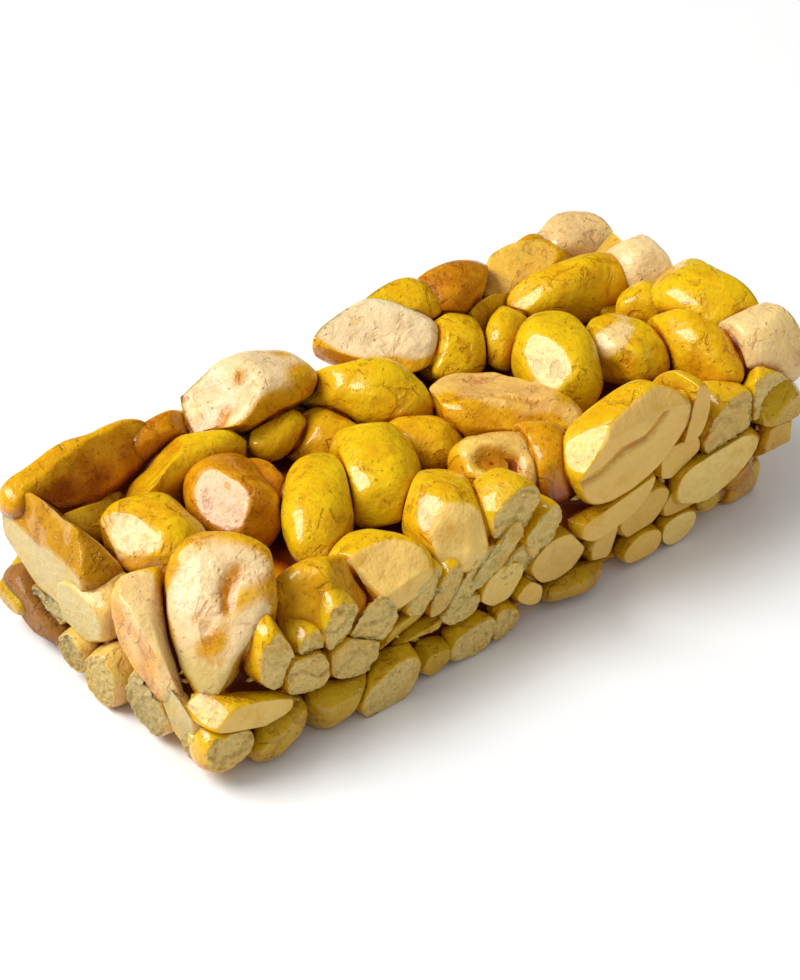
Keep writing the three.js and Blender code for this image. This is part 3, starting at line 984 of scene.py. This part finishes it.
# ---- materials ----
# Noises over a surface: waves per mm, detail, roughness and distortion
NOISES = {
    "patch": (0.3, 4.0, 0.6, 0.8),
    "fleck": (1.6, 3.0, 0.6, 0.0),
    "contour": (0.7, 3.0, 0.6, 0.8),
    "hairy": (0.9, 2.0, 0.6, 0.0),
    "valley": (0.22, 2.0, 0.5, 0.6),
    "grain": (2.4, 4.0, 0.65, 0.0),
    "streak": (0.8, 3.0, 0.6, 1.5),
    "film": (0.35, 3.0, 0.6, 0.0),
    "ripple": (0.8, 3.0, 0.55, 0.0),
    "sheen": (3.2, 2.0, 0.6, 0.0),
    "caramel_patch": (0.3, 3.0, 0.6, 0.0),
    "floor": (0.004, 2.0, 0.5, 0.0),
}

# How far patches, flecks and chance shift a glaze from lemon towards amber, and
# how much darker it is where it nears the caramel, partly thicker glaze and
# partly painted shade
PATCH_SHIFT, FLECK_SHIFT, CHANCE_SHIFT = 0.75, 0.25, 0.08
CARAMEL_SHIFT, LIGHTER = 0.26, 0.05
HAIR_SHARE, SPECK_SHARE, CREASE_SHARE = 0.25, 0.18, 0.25
RIPPLE_DEPTH, BUBBLE_DEPTH, GRAIN_DEPTH = 0.0007, 0.0003, 0.0004
CARAMEL_RIPPLE_DEPTH = 0.0008
COAT_ROUGHNESS = 0.06


def maths(operation, swapped=False):
    """A method of Wire that adds one Math node."""

    def act(self, other):
        first, second = (other, self) if swapped else (self, other)
        return self.board.node("ShaderNodeMath", {"operation": operation}, {0: first, 1: second})

    return act


class Wire:
    """A node's output socket that adds Math nodes when it is used in an expression."""

    def __init__(self, board, socket):
        self.board = board
        self.socket = socket

    __add__ = __radd__ = maths("ADD")
    __mul__ = __rmul__ = maths("MULTIPLY")
    __sub__ = maths("SUBTRACT")
    __rsub__ = maths("SUBTRACT", swapped=True)

    def clamp(self):
        return self.board.node("ShaderNodeClamp", {}, {0: self})


class Board:
    """The node tree of one material, whose patterns lie in object coordinates."""

    def __init__(self, name):
        self.material = bpy.data.materials.new(name)
        self.material.use_nodes = True
        self.tree = self.material.node_tree
        self.tree.nodes.clear()
        spot = self.node("ShaderNodeTexCoord", {}, {}, "Object")
        values = {"Vector": spot, "Scale": (1 / MM, 1 / MM, 1 / MM)}
        self.place = self.node("ShaderNodeMapping", {"vector_type": "POINT"}, values)

    def node(self, kind, settings, sockets, output=0):
        node = self.tree.nodes.new(kind)
        for key, value in settings.items():
            setattr(node, key, value)
        for key, value in sockets.items():
            if isinstance(value, Wire):
                self.tree.links.new(value.socket, node.inputs[key])
            else:
                node.inputs[key].default_value = value
        return Wire(self, node.outputs[output]) if node.outputs else None

    def attribute(self, name):
        return self.node("ShaderNodeAttribute", {"attribute_name": name}, {}, "Fac")

    def height(self):
        return self.node("ShaderNodeSeparateXYZ", {}, {0: self.place}, "Z")

    def noise(self, name):
        scale, detail, roughness, distortion = NOISES[name]
        values = {"Vector": self.place, "Scale": scale, "Detail": detail}
        values |= {"Roughness": roughness, "Distortion": distortion}
        return self.node("ShaderNodeTexNoise", {}, values, "Fac")

    def spots(self, scale, core, edge):
        """Round spots, so many per mm, whole up to core and gone at edge."""
        values = {"Vector": self.place, "Scale": scale}
        away = self.node("ShaderNodeTexVoronoi", {}, values, "Distance")
        return self.ease(away, core, edge, 1.0, 0.0)

    def lines(self, pattern, core, edge):
        """Lines where a pattern is near its middle value."""
        off = (pattern - 0.5) * (pattern - 0.5)
        return self.ease(off * 10000, core, edge, 1.0, 0.0)

    def ease(self, value, low, high, start=0.0, end=1.0):
        """Value eased from low..high to start..end."""
        sockets = {"Value": value, "From Min": low, "From Max": high}
        sockets |= {"To Min": start, "To Max": end}
        return self.node("ShaderNodeMapRange", {"interpolation_type": "SMOOTHSTEP"}, sockets)

    def mix(self, share, first, second):
        """Colour between first and second, each a wire or its red, green and blue."""
        sockets = {0: share}
        for key, colour in ((6, first), (7, second)):
            sockets[key] = colour if isinstance(colour, Wire) else (*colour, 1)
        return self.node("ShaderNodeMix", {"data_type": "RGBA"}, sockets, 2)

    def ramp(self, value, *stops):
        """Colour by value, from pairs of a value and its colour."""
        colour = self.node("ShaderNodeValToRGB", {}, {0: value}, "Color")
        elements = colour.socket.node.color_ramp.elements
        while len(elements) < len(stops):
            elements.new(0.5)
        for element, (place, shade) in zip(elements, stops):
            element.position = place
            element.color = (*shade, 1)
        return colour

    def bump(self, height, strength, distance, normal=None):
        sockets = {"Height": height, "Strength": strength, "Distance": distance}
        if normal is not None:
            sockets["Normal"] = normal
        return self.node("ShaderNodeBump", {}, sockets, "Normal")

    def surface(self, sockets):
        shader = self.node("ShaderNodeBsdfPrincipled", {}, sockets, "BSDF")
        self.node("ShaderNodeOutputMaterial", {"target": "ALL"}, {"Surface": shader})
        return self.material


def kernel_material(settings):
    """Glazed peanut kernels: golden to amber glaze, and pale flesh where they are cut."""
    board = Board("glazed_peanut")
    tone, pale, olive, cut, rise, stained, coarse, toast, chalk, dull = (
        board.attribute(name) for name in KERNEL_FINISH
    )
    chance = board.attribute("chance")
    # Near the caramel: partly glaze pooled thick and partly painted shade where kernels meet it
    wet = board.ease(rise, -0.05, 0.35, 1.0, 0.0)

    patch = board.noise("patch")
    fleck = board.noise("fleck")
    amber = tone + PATCH_SHIFT * (patch - 0.5) + FLECK_SHIFT * (fleck - 0.5)
    amber = amber + CHANCE_SHIFT * (chance - 0.5)
    # More amber close over the caramel: partly thicker glaze, partly painted shade
    amber = amber + board.ease(rise, 0.0, 0.7, CARAMEL_SHIFT, 0.0) - LIGHTER
    glaze = board.ramp(
        amber.clamp(),
        (0.0, settings.lemon_glaze),
        (0.25, settings.gold_glaze),
        (0.55, settings.amber_glaze),
        (1.0, settings.deep_glaze),
    )
    # Milky colour where the glaze is pale, which includes painted highlights on flats and on the
    # side facing the milky way
    thin = board.ease(patch, 0.35, 0.65, 1.0, 0.85) * (1 - 0.3 * wet) * (1 - 0.9 * stained)
    glaze = board.mix((pale * thin).clamp(), glaze, settings.milky_glaze)
    # Olive glaze: partly the kernels' own tint and partly painted shade on kernels low in the bar
    glaze = board.mix(olive * 0.75, glaze, settings.olive_glaze)
    glaze = board.mix(0.75 * stained, glaze, settings.amber_glaze)
    # Painted shade, partly pooled glaze: deep glaze near the caramel and near-black dark caramel
    # just under its skin
    bare = (1 - 0.85 * pale) * (1 - 0.8 * stained)
    glaze = board.mix((0.5 * wet * bare).clamp(), glaze, settings.deep_glaze)
    sunk = board.ease(rise, -0.2, 0.1, 1.0, 0.0)
    glaze = board.mix(0.7 * sunk * bare, glaze, settings.dark_caramel)

    # short dark hairlines, specks and creases in the glaze
    hair = board.lines(board.noise("contour"), 0.6, 5.0)
    hair = hair * board.ease(board.noise("hairy"), 0.54, 0.6) * (1 - 0.6 * pale)
    speck = board.spots(1.1, 0.05, 0.12)
    speck = speck * board.ease(fleck, 0.5, 0.6) * (1 - 0.6 * pale)
    crease = board.lines(board.noise("valley"), 1.0, 14.0)
    crease = crease * board.ease(patch, 0.5, 0.58) * (1 - 0.4 * pale)
    blemish = (HAIR_SHARE * hair + SPECK_SHARE * speck).clamp()
    dark = (blemish + CREASE_SHARE * crease) * (1 - 0.4 * pale)
    glaze = board.mix(dark, glaze, settings.deep_glaze)
    glaze = board.mix(0.85 * dull, glaze, settings.skin_brown)

    grain = board.noise("grain")
    level = 0.62 + coarse * (grain - 0.55) + 0.35 * (board.noise("streak") - 0.5)
    flesh = board.ramp(level.clamp(), (0.3, settings.flesh_dark), (0.62, settings.flesh))
    toasted = toast + 0.8 * (chance - 0.5) + 0.5 * (patch - 0.5)
    flesh = board.mix(toasted.clamp(), flesh, settings.flesh_toasted)
    # Painted shade: pale cut flesh darker towards the bottom
    low = board.ease(board.height(), 1.5, 10.5, 0.85, 0.0)
    flesh = board.mix(chalk, flesh, board.mix(low, settings.flesh_pale, settings.flesh_shade))
    flesh = board.mix(board.ease(level, 0.35, 0.6, 0.5, 0.0), flesh, settings.flesh_dark)
    film = board.ease(board.noise("film"), 0.5, 0.75) * 0.5
    flesh = board.mix(film, flesh, settings.gold_glaze)
    flesh = board.mix(0.8 * stained, flesh, settings.deep_glaze)
    share = (cut * board.ease(rise, -0.3, 0.0)).clamp()

    soft = board.bump(board.noise("ripple"), 0.45, RIPPLE_DEPTH)
    fine = board.spots(0.8, 0.0, 0.16) - blemish - 0.6 * crease
    soft = board.bump(fine, 0.8 * (1 - share), BUBBLE_DEPTH, soft)
    rough = board.bump(grain, share * (0.25 + 0.7 * coarse), GRAIN_DEPTH, soft)
    sheen = board.ease(board.noise("sheen"), 0.4, 0.6)
    matt = 0.16 + 0.22 * sheen + 0.4 * dull + share * (0.25 + 0.25 * coarse) + 0.3 * blemish
    coat = (1 - 0.9 * share) * board.ease(fleck, 0.35, 0.55, 0.35, 0.65)
    coat = coat * (1 - 0.7 * pale) * (1 - 0.8 * blemish) * (1 - dull)
    return board.surface(
        {
            "Base Color": board.mix(share, glaze, flesh),
            "Roughness": matt,
            "IOR": 1.45,
            "Specular IOR Level": 0.25,
            "Coat Weight": coat,
            "Coat Roughness": COAT_ROUGHNESS,
            "Coat IOR": 1.5,
            "Subsurface Weight": 0.3,
            "Subsurface Radius": (1.0, 0.45, 0.12),
            "Subsurface Scale": 0.0012,
            "Normal": rough,
        }
    )


def caramel_material(settings):
    """Set caramel: deep amber to near black in the crevices, partly thicker caramel and partly
    painted shade, golden where it is thin.
    """
    board = Board("set_caramel")
    pit = board.attribute("pit")
    patch = board.noise("caramel_patch")
    # Deeper pits darker: partly thicker caramel, partly painted shade
    depth = pit + 0.35 * (patch - 0.5)
    colour = board.ramp(
        depth.clamp(),
        (0.1, settings.gold_glaze),
        (0.3, settings.amber_glaze),
        (0.5, settings.deep_glaze),
        (0.75, settings.dark_caramel),
    )
    bumps = board.bump(board.noise("ripple"), 0.4, CARAMEL_RIPPLE_DEPTH)
    bumps = board.bump(board.spots(0.7, 0.0, 0.2), 0.5, BUBBLE_DEPTH, bumps)
    return board.surface(
        {
            "Base Color": colour,
            "Roughness": board.ease(patch, 0.3, 0.7, 0.2, 0.4),
            "IOR": 1.5,
            "Specular IOR Level": 0.04,
            "Coat Weight": board.ease(pit, 0.2, 0.6, 0.7, 0.1),
            "Coat Roughness": COAT_ROUGHNESS,
            "Subsurface Weight": 0.1,
            "Subsurface Radius": (1.0, 0.35, 0.05),
            "Subsurface Scale": 0.0015,
            "Normal": bumps,
        }
    )


def material_named(name, maker):
    return bpy.data.materials.get(name) or maker(bpy.context.scene.brittle)


# ---- settings, operators and panel ----
def tint(label, description, default):
    return FloatVectorProperty(
        name=label, description=description, subtype="COLOR", size=3, min=0, max=1, default=default
    )


class BrittleSettings(bpy.types.PropertyGroup):
    """Sizes and colours that a user would change"""

    caramel_voxel: FloatProperty(
        name="Caramel detail",
        description="Edge length of the grid that the caramel skin is drawn from",
        default=0.00044,
        min=0.0003,
        max=0.002,
        unit="LENGTH",
    )
    caramel_inset: FloatProperty(
        name="Caramel inset",
        description="How far the caramel lies under the kernels that it holds",
        default=0.00005,
        min=0,
        max=0.001,
        unit="LENGTH",
    )
    caramel_fillet: IntProperty(
        name="Caramel fillet",
        description="How widely the caramel fills the crevices, as rounds of smoothing",
        default=22,
        min=0,
        max=60,
    )
    crumb_count: IntProperty(
        name="Crumbs",
        description="How many crumbs lie in the cut sides",
        default=190,
        min=0,
        max=600,
    )
    lemon_glaze: tint("Lemon glaze", "Thin glaze on the lightest kernels", (0.76, 0.475, 0.004))
    gold_glaze: tint("Golden glaze", "Glaze on most kernels", (0.70, 0.35, 0.003))
    amber_glaze: tint("Amber glaze", "Thicker glaze", (0.55, 0.20, 0.002))
    deep_glaze: tint("Deep glaze", "Thick glaze near the caramel", (0.30, 0.058, 0.001))
    # Dark caramel: partly the deep caramel's colour and partly painted shade in crevices
    dark_caramel: tint("Dark caramel", "Caramel in deep crevices", (0.08, 0.010, 0.0008))
    # Milky glaze, also used as a painted highlight
    milky_glaze: tint("Milky glaze", "Kernels with a thin, milky glaze", (0.85, 0.66, 0.38))
    # Olive glaze: partly tint and partly painted shade low in the front side
    olive_glaze: tint("Olive glaze", "Glazed kernels low in the front side", (0.46, 0.31, 0.010))
    flesh: tint("Cut flesh", "Freshly cut peanut", (0.92, 0.66, 0.21))
    flesh_dark: tint("Cut flesh, dark", "Grain in the cut peanut", (0.60, 0.40, 0.10))
    flesh_pale: tint("Pale flesh", "Cut peanut at the left end", (0.58, 0.47, 0.22))
    # Painted shade for cut peanut low in the left end
    flesh_shade: tint("Grey flesh", "Cut peanut low in the left end", (0.36, 0.26, 0.09))
    flesh_toasted: tint("Toasted flesh", "Cut peanut that is roasted darker", (0.80, 0.45, 0.08))
    skin_brown: tint("Brown skin", "Kernel that kept its skin", (0.15, 0.06, 0.02))
    key_power: FloatProperty(
        name="Key light", description="Power of the large softbox", default=9.9, min=0, unit="POWER"
    )
    surround: FloatProperty(
        name="Surroundings", description="Brightness of the pale surroundings", default=0.5, min=0
    )


def caramel_piece():
    caramel = bpy.data.objects.get("caramel_mass")
    if caramel is None:
        raise RuntimeError("make the caramel first, because the other pieces sit in it")
    return caramel.data


def add_kernels(name, subdivisions=KERNEL_DETAIL):
    mesh = make_kernel_mesh(name, kernel_groups()[name], subdivisions, caramel_piece())
    finish_piece(name, mesh, material_named("glazed_peanut", kernel_material))


class BRITTLE_OT_caramel(bpy.types.Operator):
    """Add the set caramel that holds the kernels"""

    bl_idname = "brittle.caramel"
    bl_label = "Caramel Mass"

    def execute(self, context):
        settings = context.scene.brittle
        mesh = make_caramel_mesh(
            settings.caramel_voxel, settings.caramel_fillet, settings.caramel_inset
        )
        finish_piece("caramel_mass", mesh, material_named("set_caramel", caramel_material))
        return {"FINISHED"}


class BRITTLE_OT_top_kernels(bpy.types.Operator):
    """Add the glazed kernels that lie on top"""

    bl_idname = "brittle.top_kernels"
    bl_label = "Kernels On Top"

    def execute(self, context):
        add_kernels("top_kernels")
        return {"FINISHED"}


class BRITTLE_OT_front_kernels(bpy.types.Operator):
    """Add the kernels that the knife went through in the front side"""

    bl_idname = "brittle.front_kernels"
    bl_label = "Kernels In The Front Side"

    def execute(self, context):
        add_kernels("front_kernels_low")
        add_kernels("front_kernels_high")
        return {"FINISHED"}


class BRITTLE_OT_left_kernels(bpy.types.Operator):
    """Add the kernels in the left end"""

    bl_idname = "brittle.left_kernels"
    bl_label = "Kernels In The Left End"

    def execute(self, context):
        add_kernels("left_kernels")
        return {"FINISHED"}


class BRITTLE_OT_far_kernels(bpy.types.Operator):
    """Add the kernels in the back side and the right end"""

    bl_idname = "brittle.far_kernels"
    bl_label = "Kernels In The Back And Right Sides"

    def execute(self, context):
        add_kernels("back_kernels")
        add_kernels("right_kernels")
        return {"FINISHED"}


class BRITTLE_OT_underside_kernels(bpy.types.Operator):
    """Add the kernels pressed flat underneath"""

    bl_idname = "brittle.underside_kernels"
    bl_label = "Kernels Underneath"

    def execute(self, context):
        add_kernels("underside_kernels", UNDERSIDE_DETAIL)
        return {"FINISHED"}


class BRITTLE_OT_crumbs(bpy.types.Operator):
    """Add crumbs of broken peanut in the crevices of the cut sides"""

    bl_idname = "brittle.crumbs"
    bl_label = "Crumbs"

    def execute(self, context):
        mesh = make_crumbs_mesh("crumbs", context.scene.brittle.crumb_count, caramel_piece())
        finish_piece("crumbs", mesh, material_named("glazed_peanut", kernel_material))
        return {"FINISHED"}


# ---- stage ----
CAMERA_AIM = (-2.4, -0.7, 9.2)
CAMERA_AZIMUTH = -39.4
CAMERA_ELEVATION = 35.1
CAMERA_DISTANCE = 258
CAMERA_RANGE = (0.01, 20)
SENSOR_WIDTH = 36
FOCAL_PIXELS = 2400
PHOTO_LONG_SIDE = 980
KEY_DIRECTION = (-0.54, 0.43, 0.72)
KEY_DISTANCE = 900
KEY_SIZE = (600, 500)
FLOOR_HALF_SIZE = 3
FLOOR_SHADES = ((0.86, 0.86, 0.855), (0.88, 0.88, 0.875))


def add_floor():
    board = Board("pale_floor")
    colour = board.ramp(board.noise("floor"), (0.0, FLOOR_SHADES[0]), (1.0, FLOOR_SHADES[1]))
    material = board.surface({"Base Color": colour, "Roughness": 0.8})
    shape = bmesh.new()
    bmesh.ops.create_grid(shape, x_segments=1, y_segments=1, size=FLOOR_HALF_SIZE)
    mesh = mesh_of(shape, "floor")
    mesh.materials.append(material)
    floor = add_object("floor", mesh)


def place_facing(thing, middle, way, distance):
    """Puts a light or a camera that far from a point, both in mm, so that it looks back there."""
    thing.location = (Vector(middle) + way * distance) * MM
    thing.rotation_euler = way.to_track_quat("Z", "Y").to_euler()


def add_key_light(power):
    data = bpy.data.lights.new("key_light", "AREA")
    data.shape = "RECTANGLE"
    data.size, data.size_y = KEY_SIZE[0] * MM, KEY_SIZE[1] * MM
    data.energy = power
    way = Vector(KEY_DIRECTION).normalized()
    place_facing(add_object("key_light", data), (0, 0, 0), way, KEY_DISTANCE)


def add_surroundings(strength):
    world = bpy.data.worlds.new("surroundings")
    world.use_nodes = True
    backdrop = world.node_tree.nodes["Background"]
    backdrop.inputs["Color"].default_value = (1, 1, 1, 1)
    backdrop.inputs["Strength"].default_value = strength
    world.cycles_visibility.glossy = False
    bpy.context.scene.world = world


def add_camera():
    azimuth, elevation = math.radians(CAMERA_AZIMUTH), math.radians(CAMERA_ELEVATION)
    level = math.cos(elevation)
    back = Vector((math.sin(azimuth) * level, -math.cos(azimuth) * level, math.sin(elevation)))
    data = bpy.data.cameras.new("camera")
    data.sensor_width = SENSOR_WIDTH
    data.lens = FOCAL_PIXELS / PHOTO_LONG_SIDE * data.sensor_width
    data.clip_start, data.clip_end = CAMERA_RANGE
    camera = add_object("camera", data)
    place_facing(camera, CAMERA_AIM, back, CAMERA_DISTANCE)
    bpy.context.scene.camera = camera


class BRITTLE_OT_stage(bpy.types.Operator):
    """Add the pale floor, the softbox, the surroundings and the camera"""

    bl_idname = "brittle.stage"
    bl_label = "Stage"

    def execute(self, context):
        settings = context.scene.brittle
        add_floor()
        add_key_light(settings.key_power)
        add_surroundings(settings.surround)
        context.scene.view_settings.view_transform = "Standard"
        add_camera()
        return {"FINISHED"}


class BRITTLE_PT_panel(bpy.types.Panel):
    """Lists the pieces of the bar and the values they are made from"""

    bl_idname = "BRITTLE_PT_panel"
    bl_label = "Peanut Brittle Bar"
    bl_space_type = "VIEW_3D"
    bl_region_type = "UI"
    bl_category = "Brittle"

    def draw(self, context):
        column = self.layout.column()
        for operator in OPERATORS:
            column.operator(operator.bl_idname)
        for name in BrittleSettings.__annotations__:
            column.prop(context.scene.brittle, name)


OPERATORS = (
    BRITTLE_OT_caramel,
    BRITTLE_OT_top_kernels,
    BRITTLE_OT_front_kernels,
    BRITTLE_OT_left_kernels,
    BRITTLE_OT_far_kernels,
    BRITTLE_OT_underside_kernels,
    BRITTLE_OT_crumbs,
    BRITTLE_OT_stage,
)
CLASSES = (BrittleSettings, *OPERATORS, BRITTLE_PT_panel)


def register():
    for kind in CLASSES:
        bpy.utils.register_class(kind)
    bpy.types.Scene.brittle = PointerProperty(type=BrittleSettings)


def unregister():
    del bpy.types.Scene.brittle
    for kind in reversed(CLASSES):
        bpy.utils.unregister_class(kind)


def main():
    register()
    bpy.ops.brittle.caramel()
    bpy.ops.brittle.top_kernels()
    bpy.ops.brittle.front_kernels()
    bpy.ops.brittle.left_kernels()
    bpy.ops.brittle.far_kernels()
    bpy.ops.brittle.underside_kernels()
    bpy.ops.brittle.crumbs()
    bpy.ops.brittle.stage()


if __name__ == "__main__":
    main()
